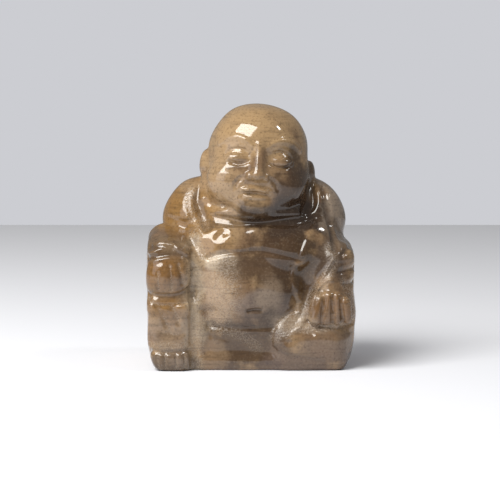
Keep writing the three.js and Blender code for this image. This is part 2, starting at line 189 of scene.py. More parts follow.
def stroke(form, line, radius, lift=0.0, ends=0.0, view=1):
    # A tool with a round tip, run along a line drawn on the form, as seen from the front, or from the back
    # where view is -1. A lift takes it off the surface, so that it bites less deep, and ends is how much
    # more it lifts there.
    at = smoothLine(line, 6)
    away = -30.0 * view                                   # starts well clear of the figure
    starts = np.column_stack([at[:, 0], np.full(len(at), away), at[:, 1]])
    share = np.linspace(0, 1, len(at))
    out = lift + ends * (1 - smoothstep(np.minimum(share, 1 - share), 0, 0.3))       # in the last 0.3 of it
    path = cast(form, starts, (0, view, 0)) - np.column_stack([0 * out, view * out, 0 * out])
    middle = (path.min(axis=0) + path.max(axis=0)) / 2
    reach = np.linalg.norm(path - middle, axis=1).max() + radius

    def distance(p):
        closest = np.full(len(p), np.inf)
        for a, b in zip(path[:-1], path[1:]):
            ab = b - a
            t = np.clip((p - a) @ ab / (ab @ ab), 0, 1)
            gap = p - a - t[:, None] * ab
            closest = np.minimum(closest, np.einsum("ij,ij->i", gap, gap))
        return np.sqrt(closest) - radius

    return within(middle, reach, distance)


def patch(outline, thickness, cloth):
    # a thickness of cloth laid over the front, inside a smooth closed outline
    rim = smoothLine([*outline, outline[0]], 4)

    def edge(p):
        closest = np.full(len(p), np.inf)
        inside = np.zeros(len(p), bool)
        x, z = p[:, 0], p[:, 2]
        for (ax, az), (bx, bz) in zip(rim[:-1], rim[1:]):
            ux, uz = bx - ax, bz - az
            t = np.clip(((x - ax) * ux + (z - az) * uz) / (ux * ux + uz * uz), 0, 1)
            closest = np.minimum(closest, (x - ax - t * ux) ** 2 + (z - az - t * uz) ** 2)
            if uz:
                inside ^= ((az > z) != (bz > z)) & (x < ax + (z - az) / uz * ux)
        return np.where(inside, -1, 1) * np.sqrt(closest)

    def add(p, under):
        inFront = smoothstep(-p[:, 1], *cloth["towardsFront"])
        height = thickness * inFront * (1 - smoothstep(np.abs(p[:, 0]), *cloth["towardsSides"]))
        laid = softMin(under, softMax(under - height, edge(p), cloth["edge"]), cloth["fillet"])
        return np.where(height > 0, laid, under)

    return add


def lay(form, *patches):
    def distance(p):
        total = form(p)
        for add in patches:
            total = add(p, total)
        return total

    return distance


def onBothSides(line, *tool):
    return [(line, *tool), ([(-x, z) for x, z in line], *tool)]


# The head, in its own frame, with the origin between the ears. Its face is a calm, general one.

head = {
    "height": 20.4,
    "tilt": 5.5,                                          # degrees, towards the viewer's right
    "centre": (1.4, -0.6),                                # X and Y
    "top": 0.3,                                           # from the crown to the top of the sawn block
    "reach": 14.5,                                        # radius of a ball round it, ears and all
    # eggs: middle, halves, and turn in degrees
    "skull": ((-0.1, 0.9, 0.8), (9.2, 9.0, 9.4)),
    "brow": ((0, 0.2, 3.2), (8.2, 8.5, 6.4)),
    "lower": ((0, -1.2, -3.0), (9.5, 8.0, 7.0)),
    "jowl": ((0, -1.3, -7.2), (9.2, 7.6, 3.9)),
    "chin": ((0, -7.6, -8.3), (3.0, 1.9, 1.7)),
    "noseTip": ((0, -9.6, -2.4), (1.3, 1.2, 1.05)),
    "lowerLip": ((0, -8.5, -6.4), (2.2, 1.1, 0.75)),
    # the same, on both sides
    "cheeks": ((4.9, -5.2, -4.1), (3.9, 3.5, 3.5)),
    "sockets": ((3.9, -9.6, 1.2), (2.9, 1.7, 1.6)),
    "lids": ((3.9, -6.9, 0.3), (2.5, 1.5, 1.15), (0, 6, 0)),
    "pouches": ((4.1, -7.0, -1.4), (2.2, 1.2, 0.7), (0, 10, 0)),
    "nostrils": ((1.5, -8.8, -2.7), (0.9, 1.1, 0.8)),
    "upperLip": ((1.2, -8.6, -5.1), (1.9, 1.1, 0.65), (0, 8, 0)),
    "ears": ((9.6, 1.1, -1.9), (1.3, 2.1, 2.6), (0, 0, -8)),
    # limbs: from, to, and the radius at each end
    "noseBridge": ((0, -7.9, 3), (0, -9.3, -2.0), 0.8, 1.1),
    "earLobes": ((9.4, -0.2, -4.2), (9.3, -2.2, -8.4), 0.85, 1.25),
    # the carver's lines: as seen from the front, the tool's radius, its lift, and how much more at the ends
    "mouth": ([(-3.2, -5.4), (-1.6, -5.85), (0, -5.8), (1.6, -5.85), (3.2, -5.4)], 0.35, 0.05, 0.4),
    "underChin": ([(-6.6, -8.6), (-4, -10.0), (0, -10.6), (4, -10.0), (6.6, -8.6)], 0.7, 0.25, 0.5),
    # the same, on both sides
    "lashes": ([(1.7, 0.2), (2.8, -0.45), (4.0, -0.7), (5.2, -0.4), (6.3, 0.3)], 0.34, 0.0, 0.3),
    "lidFolds": ([(1.9, 1.3), (3.0, 1.95), (4.1, 2.1), (5.3, 1.8), (6.2, 1.1)], 0.28, 0.05, 0.3),
    "smiles": ([(2.5, -2.7), (3.6, -3.9), (4.2, -5.5)], 0.6, 0.3, 0.3),
    "brows": ([(1.4, 2.9), (2.6, 3.8), (4.2, 4.15), (5.9, 3.7), (7.1, 2.6)], 0.5, -0.25, -0.3),
}
headMiddle = (*head["centre"], figure["height"] - head["height"] / 2 - head["top"])


def bareHead():
    bones = [egg(*head[name]) for name in ("skull", "brow", "lower", "jowl")]
    cheeks = pair(egg(*head["cheeks"]))
    return join(1.6, join(2.0, *bones, *cheeks), egg(*head["chin"]))


def face():
    sockets, pouches = pair(egg(*head["sockets"])), pair(egg(*head["pouches"]))
    nose = join(0.6, limb(*head["noseBridge"]), egg(*head["noseTip"]))
    modelled = join(0.9, cut(bareHead(), 1.4, *sockets), nose, *pouches)
    details = [side for name in ("nostrils", "lids", "upperLip") for side in pair(egg(*head[name]))]
    return join(0.4, modelled, *details, egg(*head["lowerLip"]))


def wholeHead():
    form = face()
    grooves = [head["mouth"]]
    for name in ("lashes", "lidFolds", "smiles"):
        grooves += onBothSides(*head[name])
    grooves.append(head["underChin"])
    carved = cut(form, 0.3, *[stroke(form, *groove) for groove in grooves])
    brows = [stroke(form, *brow) for brow in onBothSides(*head["brows"])]     # raised, not cut
    ears = pair(join(0.7, egg(*head["ears"]), limb(*head["earLobes"])))
    whole = join(0.6, join(0.5, carved, *brows), *ears)
    return within(headMiddle, head["reach"], placed(headMiddle, (0, head["tilt"], 0), whole))


# The body, the raised right leg and the folded left leg. A block has a middle, halves, a rounding and a turn
# in degrees, an egg a middle, halves and a turn, and a limb its two ends and the radius at each.

chestMiddle = 0.6                                         # X, as the chest leans a little that way

trunkForms = {
    "seat": ((0.1, 1.4, 2), (halfWidth - 0.9, 11.1, 5.4), 3.2),
    "hips": ((0.2, 3.2, 11), (15.5, 10.2, 15)),
    "back": ((0.6, 3.0, 24.5), (14.8, 9.4, 10.6)),
    "nape": ((1.0, 1.8, 32.8), (9.8, 7.4, 4.2)),
    # on both sides
    "shoulders": ((chestMiddle + 9.7, 2.1, 27), (7.5, 7.3, 7.9)),
    "walls": ((halfWidth - 4.6, 0.6, 11.4), (4.6, 9.6, 12.0), 3.2),
}


def trunk():
    seat = block(*trunkForms["seat"])
    middle = [egg(*trunkForms[name]) for name in ("hips", "back", "nape")]
    shoulders = pair(egg(*trunkForms["shoulders"]), chestMiddle)
    walls = pair(block(*trunkForms["walls"]))
    return join(2.2, seat, *middle, *shoulders, *walls)


frontForms = {
    "belly": ((-0.7, -3.2, 14.4), (12.4, 9.2, 10.2)),
    "bellyTop": ((-3.6, -8.1, 18.2), (6.5, 3.0, 3.6)),
    "neck": ((1.2, -3.0, 28.8), (10, 6.0, 2.6)),
    "lap": ((-0.8, -4, 4.6), (8.0, 6.4, 5.4), 2.6),
    "besideKnee": ((-10.8, -4, 10.5), (2, 5.8, 11.0), 1.8),
    "besideShin": ((-10.4, -5.0, 6.8), (2, 5.8, 7.0), 1.8),
    "rim": ((0.2, -3.3, 0.2), (halfWidth - 1.5, 7.6, 3.0), 1.6),
    # on both sides
    "breasts": ((chestMiddle + 4.9, -4.0, 22.8), (7.4, 5.9, 4.9)),
    "slopes": ((chestMiddle + 5.8, -7.3, 24.1), (6.8, 2.1, 5.2), (-32, 0, 11)),
}


def chestAndBelly():
    chest = [side for name in ("breasts", "slopes") for side in pair(egg(*frontForms[name]), chestMiddle)]
    belly = [egg(*frontForms[name]) for name in ("belly", "bellyTop")]
    lap = [block(*frontForms[name]) for name in ("lap", "besideKnee", "besideShin")]
    return join(0.8, join(2.0, *chest, *belly, *lap), egg(*frontForms["neck"]), block(*frontForms["rim"]))


kneeHalf = 4.2                                            # half the raised leg's width
kneeX = -halfWidth + kneeHalf

raisedLegForms = {
    "shin": ((kneeX, frontY + 7.0, 11.2), (kneeHalf - 0.3, 5.7, 11.6), 2.0),
    "hem": ((kneeX, frontY + 6.6, 11.8), (kneeHalf - 0.15, 5.8, 1.5), 1.2, (0, 2, 0)),
    "hand": ((kneeX, frontY + 5.7, 17.5), (kneeHalf, 5.5, 3.9), 3.7, (-4, 0, 0)),
    "knuckles": ((kneeX, frontY + 3.0, 17.1), (4.2, 3.15, 4.0)),
    "cuff": ((kneeX + 0.1, frontY + 8.0, 22.2), (kneeHalf + 0.05, 7.0, 3.2), 3.1, (16, 4, 0)),
    "foot": ((kneeX + 0.1, frontY + 6.6, 1.6), (kneeHalf - 0.3, 5.6, 2.7), 2.2),
}


def raisedLeg():
    shin, hem, hand, cuff, foot = (
        block(*raisedLegForms[name]) for name in ("shin", "hem", "hand", "cuff", "foot")
    )
    return join(0.8, shin, hem, hand, egg(*raisedLegForms["knuckles"]), cuff, foot)


foldedLegForms = {
    "leg": ((halfWidth - 8.4, frontY + 8.0, 3.7), (7.3, 6.1, 5.0), 3.2),
    "underArm": ((11.8, -2.4, 19), (5.6, 5.8, 9.2)),
    "fold": ((11.4, -5.6, 12), (7.0, -7.0, 7.0), 3.2, 3.0),
    "sleeve": ((15.5, -7.8, 20.2), (14.8, -6.6, 10.8), 1.9, 4.7),
    "wrist": ((14.9, frontY + 4.2, 16.4), (15.1, frontY + 4.2, 13.4), 1.3, 1.9),
}
fingers = {
    "knuckles": ((12.7, 12.9), (14.3, 13.4), (15.8, 13.3), (17.2, 12.5)),          # X and Z of each
    "tips": (12.0, 14.0, 16.0, 17.7),                                              # X of each
    "tipHeight": 9.6,
    "radii": (1.0, 0.85),                                 # at the knuckle and at the tip
}


def foldedLeg():
    leg = block(*foldedLegForms["leg"])
    drapery = join(1.6, egg(*foldedLegForms["underArm"]), limb(*foldedLegForms["fold"]))
    sleeve, wrist = limb(*foldedLegForms["sleeve"]), limb(*foldedLegForms["wrist"])
    hanging = [
        limb((x, frontY + 2.5, top), (tip, frontY + 2.3, fingers["tipHeight"]), *fingers["radii"])
        for (x, top), tip in zip(fingers["knuckles"], fingers["tips"])
    ]
    return join(0.25, join(0.8, join(1.0, leg, drapery, sleeve), wrist), *hanging)


robe = {
    "thickness": 0.5,
    "hemThickness": 0.3,
    "edge": 1.2,                                          # how softly a hem falls off
    "fillet": 0.2,                                        # and how softly it meets the skin
    "towardsFront": (1.5, 7),                             # mm in front of the middle, from none to full
    "towardsSides": (14, 18.5),                           # mm out from the middle, from full to none
    "panels": {
        "rightShoulder": [
            (-7.6, 37.5), (-9.1, 35.9), (-10.7, 33.3), (-11.7, 30.8), (-11.3, 28.6), (-11.2, 27.2),
            (-14, 27.2), (-20, 29), (-20, 38), (-12, 41),
        ],
        "leftShoulder": [
            (11.2, 37), (12.7, 33.4), (13.4, 30.6), (12.9, 28.0), (11.0, 26.6), (10.0, 25.2), (8.6, 20.9),
            (7.2, 18.6), (7.0, 17.0), (7.6, 14.9), (8.5, 12.3), (8.1, 10.9), (6.4, 10.2), (4.7, 8.7),
            (3.9, 7.0), (4.1, 4.2), (8, 3.0), (24, 3), (24, 40), (12, 41),
        ],
    },
    "hems": {
        "sleeve": [
            (15.1, 21.6), (12.9, 18.4), (10.1, 12.8), (8.9, 9.8), (6.2, 5.9), (7.6, 5.2), (10.2, 8.6),
            (11.4, 11.6), (14.0, 17.2), (16.0, 20.4),
        ],
        "cuff": [
            (10.7, 11.2), (11.4, 14.4), (13.2, 17.0), (14.9, 17.6), (16.7, 16.4), (18.0, 13.8),
            (18.9, 10.6), (17.9, 10.8), (17.2, 13.6), (16.0, 15.6), (14.9, 16.2), (13.6, 15.6),
            (12.3, 13.9), (11.7, 11.4),
        ],
    },
}


def clothed(form):
    panels = [patch(outline, robe["thickness"], robe) for outline in robe["panels"].values()]
    hems = [patch(outline, robe["hemThickness"], robe) for outline in robe["hems"].values()]
    return lay(form, *panels, *hems)


# The carver's lines on the body: the line as seen from the front, the tool's radius, and its lift
lines = {
    "underBreasts": (
        [(-7.8, 21.0), (-5.4, 21.7), (-2.0, 21.95), (2.2, 22.1), (7.0, 21.1), (9.4, 20.3)],
        0.35, 0.1,
    ),
    "underBelly": ([(-7.8, 8.2), (-4, 7.9), (0, 7.8), (4.0, 7.9)], 0.4, 0.1),
    "besideBelly": ([(-9.4, 11.4), (-8.2, 11.1), (-6.8, 11.2)], 0.25, 0.13),
    "navel": ([(-0.5, 11.2), (0.6, 11.35), (1.7, 11.3)], 0.4, -0.15),
    "chestHollow": ([(-6.2, 25.0), (-5.2, 25.9)], 1.2, 1.12),
    "besideHand": ([(-10.9, 21.8), (-10.8, 19), (-10.7, 14)], 0.5, 0.15),
    "besideShin": ([(-10.7, 15), (-10.5, 8), (-10.3, 0)], 0.8, 0.55),
    "neckRight": ([(-8.6, 34.6), (-9.8, 31), (-9.2, 28.4), (-8.2, 26.6)], 1.2, 0.5),
    "neckLeft": ([(10.8, 34), (11.2, 31.4), (10.6, 29.2)], 1.5, 0.6),
    "underNeck": ([(-7.6, 27.4), (-3, 27.0), (4, 27.0), (9, 27.2), (11.8, 27.9)], 0.4, 0.1),
    "besideSleeve": ([(13.6, 33), (14.5, 29), (15.1, 25), (15.6, 22.6)], 0.8, 0.3),
    "cuff": (
        [(-19.3, 20.9), (-18, 21.3), (-16.3, 21.6), (-14.9, 21.75), (-12.8, 21.5), (-11.3, 20.9)],
        0.45, 0.0,
    ),
    "cuffFold1": ([(-18.9, 22.9), (-16.6, 23.3), (-14.4, 22.9)], 0.5, 0.25),
    "cuffFold2": ([(-17, 22.3), (-14.8, 22.5), (-12.6, 21.9)], 0.35, 0.15),
    "sleeveEdge": ([(-14.2, 24.2), (-12.8, 23.4), (-11.4, 22.2)], 0.45, 0.2),
    "underHand": ([(-19.0, 14.3), (-16.2, 14.1), (-12.8, 14.3), (-11.1, 15.4)], 0.4, 0.1),
    "kneeHem": ([(-19.0, 13.4), (-17.4, 12.5), (-14.6, 12.4), (-12.0, 12.9)], 0.25, 0.05),
    "finger1": ([(-17.0, 18.4), (-17.0, 17.0), (-16.9, 15.4)], 0.25, 0.1),
    "finger2": ([(-14.9, 19.7), (-14.6, 17.5), (-14.5, 15.2)], 0.25, 0.05),
    "finger3": ([(-13.2, 19.6), (-12.7, 17.9), (-12.5, 16.4)], 0.25, 0.05),
    "shinFold1": ([(-16.9, 11.6), (-15.6, 9.2), (-14.8, 7.2)], 0.25, 0.08),
    "shinFold2": ([(-14.9, 12.3), (-13.9, 10.6), (-13.4, 9.0)], 0.25, 0.08),
    "shinFold3": ([(-14.2, 11.9), (-13.2, 9.9)], 0.22, 0.1),
    "shinFold4": ([(-15.4, 7.0), (-13.8, 6.8), (-12.4, 7.1)], 0.22, 0.1),
    "hem": ([(-19.1, 3.9), (-15.1, 3.6), (-11.5, 3.9)], 0.45, 0.15),
    "toe1": ([(-17.2, 2.8), (-17.0, 0.8)], 0.25, 0.1),
    "toe2": ([(-15.85, 3.0), (-15.65, 0.4)], 0.25, 0.1),
    "toe3": ([(-13.85, 3.0), (-13.65, 0.4)], 0.25, 0.1),
    "toe4": ([(-12.3, 3.0), (-12.1, 0.4)], 0.25, 0.1),
    "hangingFinger1": ([(13.5, 13.6), (13.2, 11.6), (13.0, 9.2)], 0.25, 0.0),
    "hangingFinger2": ([(15.05, 13.8), (15.05, 11.6), (15.0, 9.2)], 0.25, 0.0),
    "hangingFinger3": ([(16.5, 13.4), (16.7, 11.4), (16.85, 9.2)], 0.25, 0.0),
    "underFingers": ([(11.4, 8.5), (15, 8.3), (19, 8.5)], 0.4, 0.1),
    "legFold": ([(7.0, 5.4), (8.4, 7.2), (11.4, 7.0)], 0.35, 0.15),
    "sideFold1": ([(16.6, 18.2), (18.0, 18.5), (19.4, 18.8)], 0.35, 0.1),
    "sideFold2": ([(17.2, 15.9), (18.2, 15.9), (19.4, 16.1)], 0.35, 0.1),
    "sideFold3": ([(16.9, 21.4), (17.8, 22.1), (18.8, 23.0)], 0.35, 0.1),
}
linesBehind = {
    "fromShoulder": ([(-14, 28), (-8, 20), (0, 15), (8, 13), (15, 13)], 1.1, 0.5),
    "acrossBack": ([(-10, 32), (-3, 25.5), (5, 22), (14, 21)], 1.1, 0.55),
    "overSeat": ([(-17, 17), (-10, 10), (0, 6.5), (12, 6)], 1.1, 0.5),
    "collar": ([(-7.4, 33.4), (-2, 31.8), (5, 31.8), (10, 33)], 0.9, 0.3),
}


def carve(form):
    front = [stroke(form, *line) for line in lines.values()]
    behind = [stroke(form, *line, view=-1) for line in linesBehind.values()]
    return cut(form, 0.6, *front, *behind)


# the slight waves that grinding by hand leaves: their height and the range of their lengths, in mm
polishing = {"depth": 0.075, "waves": (5.0, 9.0), "count": 8, "seed": 7}


def handWaves():
    draw = np.random.default_rng(polishing["seed"])
    count = polishing["count"]
    ways = draw.normal(size=(count, 3))
    ways /= np.linalg.norm(ways, axis=1)[:, None]
    ways *= 2 * np.pi / draw.uniform(*polishing["waves"], size=(count, 1))
    shifts = draw.uniform(0, 2 * np.pi, size=count)
    return lambda p: np.sin(p @ ways.T + shifts).sum(axis=1) * polishing["depth"] / 2


def wholeFigure():
    waves = handWaves()
    uncut = clothed(join(1.2, trunk(), chestAndBelly(), raisedLeg(), foldedLeg()))
    whole = join(0.8, carve(uncut), wholeHead())
    # the stone was sawn to a block, and it is taller than the figure here, so that only its sides trim it
    sawnBlock = block((0, 0, 30), (halfWidth + 0.3, -frontY, 30.6), figure["edge"])
    corners = figure["lowerCorners"]

    def distance(p):
        ground = softMax(whole(p) + waves(p), sawnBlock(p), 0.8)
        outward = np.where(p[:, 0] > 0, corners["right"], -corners["left"]) * p[:, 0]
        ground = softMax(ground, outward - corners["down"] * p[:, 2] - corners["out"], corners["soft"])
        return softMax(ground, -p[:, 2], figure["underEdge"])

    return distance, uncut


# Places with the grinder's marks left on them: a line as seen from the front, and its reach on each side
marks = {
    "overHem": ([(14.4, 22.6), (15.0, 19.6), (12.6, 15.6), (9.2, 10.2), (6.6, 7.0)], 1.2),
    "lowerTip": ([(4.6, 6.4), (6.0, 8.6), (8.6, 9.4)], 1.6),
    "underFingers": ([(9.0, 8.2), (13.0, 8.0), (17.0, 8.4)], 0.8),
    "besideHand": ([(17.0, 16.4), (18.6, 12.6), (19.2, 9.6)], 0.9),
    "overToes": ([(-18.6, 4.8), (-15.5, 4.6), (-12.4, 4.8)], 1.1),
    "besideChest": ([(-10.8, 25.2), (-9.6, 22.6), (-8.6, 21.0)], 0.9),
    "besideKnee": ([(-9.9, 0.4), (-9.9, 6), (-9.9, 11), (-10.2, 18)], 1.5),
    "lap": ([(-7.4, 8.2), (-4.0, 7.2), (-1.4, 6.2), (1.0, 4.4)], 1.3),
    "belly": ([(-5.0, 17.0), (-4.6, 13.0), (-6.4, 10.2)], 3.6),
    "bellyTop": ([(-6.9, 20.4), (-5.0, 20.5), (-3.4, 20.2)], 1.1),
    "neckRight": ([(-10.2, 35.0), (-11.4, 31.4), (-10.6, 28.0), (-9.0, 26.4)], 1.4),
}
# fine lines that show pale, because the polish didn't reach into them
scratches = {
    "reach": 0.22,
    "lines": (
        "finger1", "finger2", "finger3", "kneeHem", "shinFold1", "shinFold2", "shinFold3", "shinFold4",
        "toe1", "toe2", "toe3", "toe4", "legFold",
    ),
}


def markedAt(p):
    most = np.zeros(len(p))
    pale = [(lines[name][0], scratches["reach"]) for name in scratches["lines"]]
    for line, reach in [*marks.values(), *pale]:
        rim = smoothLine(line, 4)
        closest = np.full(len(p), np.inf)
        for a, b in zip(rim[:-1], rim[1:]):
            ab = b - a
            gap = p[:, [0, 2]] - a
            t = np.clip(gap @ ab / (ab @ ab), 0, 1)
            closest = np.minimum(closest, np.linalg.norm(gap - t[:, None] * ab, axis=1))
        most = np.maximum(most, 1 - smoothstep(closest, reach * 0.4, reach * 1.3))   # with a soft edge
    return most * smoothstep(-p[:, 1], 0, 4)              # on the front alone


# The skin: the solid's own triangles, divided twice and brought onto the finer form

skin = {
    "cuts": 2,
    "passes": 5,                                          # evening out and settling in turn
    "share": 0.4,                                         # of the way to its neighbours' middle
    "weld": 0.002,                                        # mm
    "probe": 0.01,                                        # mm, for finding which way the form faces
    "farthest": 0.5,                                      # mm that a point moves in one go
    "flat": 0.03,                                         # mm, and anything lower lies on the floor
}


def gapAndSlope(form, points):
    slope = np.zeros_like(points)
    gap = np.zeros(len(points))
    for corner in ((1, 1, 1), (1, -1, -1), (-1, 1, -1), (-1, -1, 1)):
        corner = np.array(corner, float)
        distance = form(points + corner * skin["probe"])
        slope += distance[:, None] * corner / (4 * skin["probe"])
        gap += distance / 4
    return gap, slope


def settle(form, points):
    gap, slope = gapAndSlope(form, points)
    steep = np.maximum(np.einsum("ij,ij->i", slope, slope), 0.3)       # no leaps where the form is ill defined
    points -= slope * (np.clip(gap, -skin["farthest"], skin["farthest"]) / steep)[:, None]


def neighbourMeans(points, edges, counts):
    sums = np.empty_like(points)
    for k in range(points.shape[1]):
        sums[:, k] = np.bincount(edges[:, 0], points[edges[:, 1], k], len(points))
        sums[:, k] += np.bincount(edges[:, 1], points[edges[:, 0], k], len(points))
    return sums / counts[:, None]


def carvedFigure():
    form, uncut = wholeFigure()
    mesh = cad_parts[figureName].data.copy()
    bm = bmesh.new()
    bm.from_mesh(mesh)
    bmesh.ops.remove_doubles(bm, verts=bm.verts, dist=skin["weld"] * mm)
    for cutting in range(skin["cuts"]):
        bmesh.ops.subdivide_edges(bm, edges=bm.edges, cuts=1, use_grid_fill=True)
    bmesh.ops.triangulate(bm, faces=[f for f in bm.faces if len(f.verts) > 3])
    bm.to_mesh(mesh)
    bm.free()
    points = np.empty(len(mesh.vertices) * 3)
    mesh.vertices.foreach_get("co", points)
    points = points.reshape(-1, 3) / mm
    edges = np.empty(len(mesh.edges) * 2, np.int32)
    mesh.edges.foreach_get("vertices", edges)
    edges = edges.reshape(-1, 2)
    counts = np.bincount(edges.ravel(), minlength=len(points)).astype(float)
    settle(form, points)
    for step in range(skin["passes"]):
        points += (neighbourMeans(points, edges, counts) - points) * skin["share"]
        settle(form, points)
    points[points[:, 2] < skin["flat"], 2] = 0
    mesh.vertices.foreach_set("co", (points * mm).ravel())
    # how deep the tool cut below the modelled form, in mm, which the material turns into a painted shade, and
    # how much of the grinder's marks are left
    found = {"cutDepth": np.maximum(-uncut(points), 0), "marked": markedAt(points)}
    for name, values in found.items():
        attribute = mesh.attributes.new(name, "FLOAT", "POINT")
        attribute.data.foreach_set("value", values.astype(np.float32))
    mesh.polygons.foreach_set("use_smooth", np.ones(len(mesh.polygons), bool))
    mesh.update()
    carving = bpy.data.objects.new("polishedCarving", mesh)
    bpy.context.scene.collection.objects.link(carving)
    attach(carving, "root")
    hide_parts(figureName)
    print("carving:", len(mesh.polygons), "triangles")
    return carving


# Materials

def linear(hexColour):                                    # sRGB hex to linear
    values = [int(hexColour[i:i + 2], 16) / 255 for i in (1, 3, 5)]
    return tuple(v / 12.92 if v < 0.04045 else ((v + 0.055) / 1.055) ** 2.4 for v in values) + (1.0,)


def addNode(tree, kind, inputs=None, **settings):
    node = tree.nodes.new("ShaderNode" + kind)
    for name, value in settings.items():
        setattr(node, name, value)
    for name, value in (inputs or {}).items():
        if isinstance(value, bpy.types.NodeSocket):
            tree.links.new(value, node.inputs[name])
        else:
            node.inputs[name].default_value = value
    return node


def emptyMaterial(name):
    material = bpy.data.materials.new(name)
    material.use_nodes = True
    tree = material.node_tree
    tree.nodes.clear()
    shader = addNode(tree, "BsdfPrincipled")
    addNode(tree, "OutputMaterial", {"Surface": shader.outputs["BSDF"]})
    return material, tree, shader


# Petrified wood: sawn, ground and tumbled to a gloss, so it shows sharp reflections over a grainy brown.
# The marked places, the fine scratched lines among them, weren't reached by the polish, and stay pale and
# dull. The cuts get a painted shade, darker the deeper they go.
petrifiedWood = {
    "brown": "#775d43",
    "tan": "#957a59",
    "dust": "#b0a08b",
    "dark": "#3a2b20",
    "polish": 0.08,                                       # roughness where it is polished
    "unpolished": 0.5,                                    # and where it isn't
    "ior": 1.54,                                          # quartz
    "gloss": 0.6,                                         # matched to the bright window light on it
    "cutShade": (0.15, 0.5, 0.4),                             # painted shade in the cuts: mm deep where it starts and is full, and strength
    "pale": 0.27,                                         # how much of the dust's colour a dull place takes
    "pitDepth": 0.09,                                     # mm
    "zoneEdge": (1.3, 1.95),                              # how far out a zone is full and gone, waves added
}
# Cloudy patterns: their size along X, Y and Z in mm, the noise where they start and where they are full,
# their strength, and the detail and the place of the noise
patterns = {
    "tan": ((5, 5, 9), 0.4, 0.62, 1.0, 4.0, 3.0),
    "zoneWaves": ((4.5, 4.5, 4.5), 0.15, 0.85, 1.3, 7.0, 11.0),
    "darkGrain": ((0.4, 0.4, 0.4), 0.5, 0.8, 0.55, 2.0, 5.0),       # grain drawn twice as coarse as it is,
    "paleGrain": ((0.4, 0.4, 0.4), 0.5, 0.2, 0.12, 2.0, 5.0),       # or it wouldn't show
    "fibres": ((7.0, 7.0, 0.5), 0.5, 0.75, 0.35, 3.0, 8.0),         # of the old wood, drawn coarser too
    "specks": ((1.4, 1.4, 1.0), 0.55, 0.8, 0.4, 4.0, 17.0),
    "scuffs": ((0.3, 0.3, 0.26), 0.3, 0.75, 1.0, 4.0, 9.0),
    "wear": ((6, 6, 6), 0.5, 0.7, 0.06, 4.0, 2.0),
    "pits": ((0.35, 0.35, 0.35), 0.3, 0.7, 1.0, 3.0, 4.0),
}
# Colour zones, each an egg with a wavy edge: its middle and halves in mm, colour and strength. Most are the
# stone's own colour; a few are painted shade, a painted dark reflection or a painted sheen, as noted below.
stoneZones = {
    "crown": ((-1, 0, 45), (12, 20, 8), "#a48761", 0.85),
    "rightCheek": ((-6.5, -8, 35), (5, 9, 7), "#a08564", 0.8),
    "rightShoulder": ((-13.5, 0, 29), (7, 10, 6), "#85602a", 0.7),
    "upperChest": ((-6.8, -8, 24), (4.2, 6, 5), "#9b7a50", 0.6),
    "belly": ((-6.4, -10, 13.5), (4.6, 8, 6.4), "#ab9175", 0.8),
    # painted sheen: a pale patch under the crease, where the top of the belly catches the window light
    "underBreast": ((-5.2, -11, 20.1), (3.8, 5, 1.7), "#cbb99e", 0.7),
    "navel": ((1.5, -11, 12.5), (6.5, 6, 4), "#6f5d4f", 0.8),
    "heart": ((4.5, -9, 20.6), (6.6, 10, 9), "#3c2919", 0.9),
    "besideNavel": ((3.2, -11, 14), (2.4, 5, 3.6), "#84715d", 0.8),
    "leftCheek": ((8.4, -6, 33.5), (4.6, 11, 6.5), "#35261b", 0.8),
    "chin": ((5, -9, 28), (9, 7, 3.4), "#35271c", 0.8),
    "bellyTop": ((-1.2, -9, 18.8), (5.4, 6, 4.4), "#594430", 0.75),
    "lap": ((0, -10, 4.2), (10, 7, 6.2), "#453323", 0.9),
    "leftOfLap": ((-7.4, -10, 2.5), (3, 6, 4), "#8a7155", 0.6),
    "lapel": ((10.4, -6, 19), (4.2, 9, 9), "#46331f", 0.88),
    "sleeve": ((14.4, -9, 21), (3.6, 8, 6), "#4b3c30", 0.85),
    # painted shade: the hollow between the jaw and the robe on the viewer's right
    "neckShade": ((10.2, -4, 28), (6, 8, 4), "#33261c", 0.85),
    "leftArm": ((16.6, -2, 30), (3.6, 10, 8), "#978878", 0.75),
    # painted shade down the outer flank of the raised knee
    "paintedKneeShade": ((-19, -9, 20), (2, 12, 9), "#6b5030", 0.7),
    "leftElbow": ((17, -2, 24), (4, 10, 4), "#5c4a38", 0.75),
    "hems": ((11.5, -11, 8.6), (6, 5, 2.4), "#95826c", 0.7),
    "besideKnee": ((-10.6, -10, 12), (2.4, 6, 11), "#a9957a", 0.8),
    "foot": ((-15, -12, 1.6), (6, 6, 2.4), "#55432f", 0.8),
    "knuckles": ((-16.4, -12, 19), (4.2, 6, 2.6), "#7a5526", 0.7),
    "kneeCap": ((-15.5, -12, 11.4), (4, 5, 2.2), "#85602c", 0.7),
    "shin": ((-14.5, -12, 7), (5, 5, 5), "#857260", 0.5),
    "fingers": ((15, -12, 11.6), (4, 5, 3), "#6d4d2a", 0.75),
    # painted dark reflection over the top and left of the cuff
    "cuff": ((-17, -9, 23), (5, 7, 2.6), "#5d4c3a", 0.6),
    "baseFront": ((9, -12, 0.6), (12, 6, 2.4), "#54433a", 0.75),
    "leg": ((13, -9, 4), (9, 8, 4.6), "#6c5847", 0.75),
}


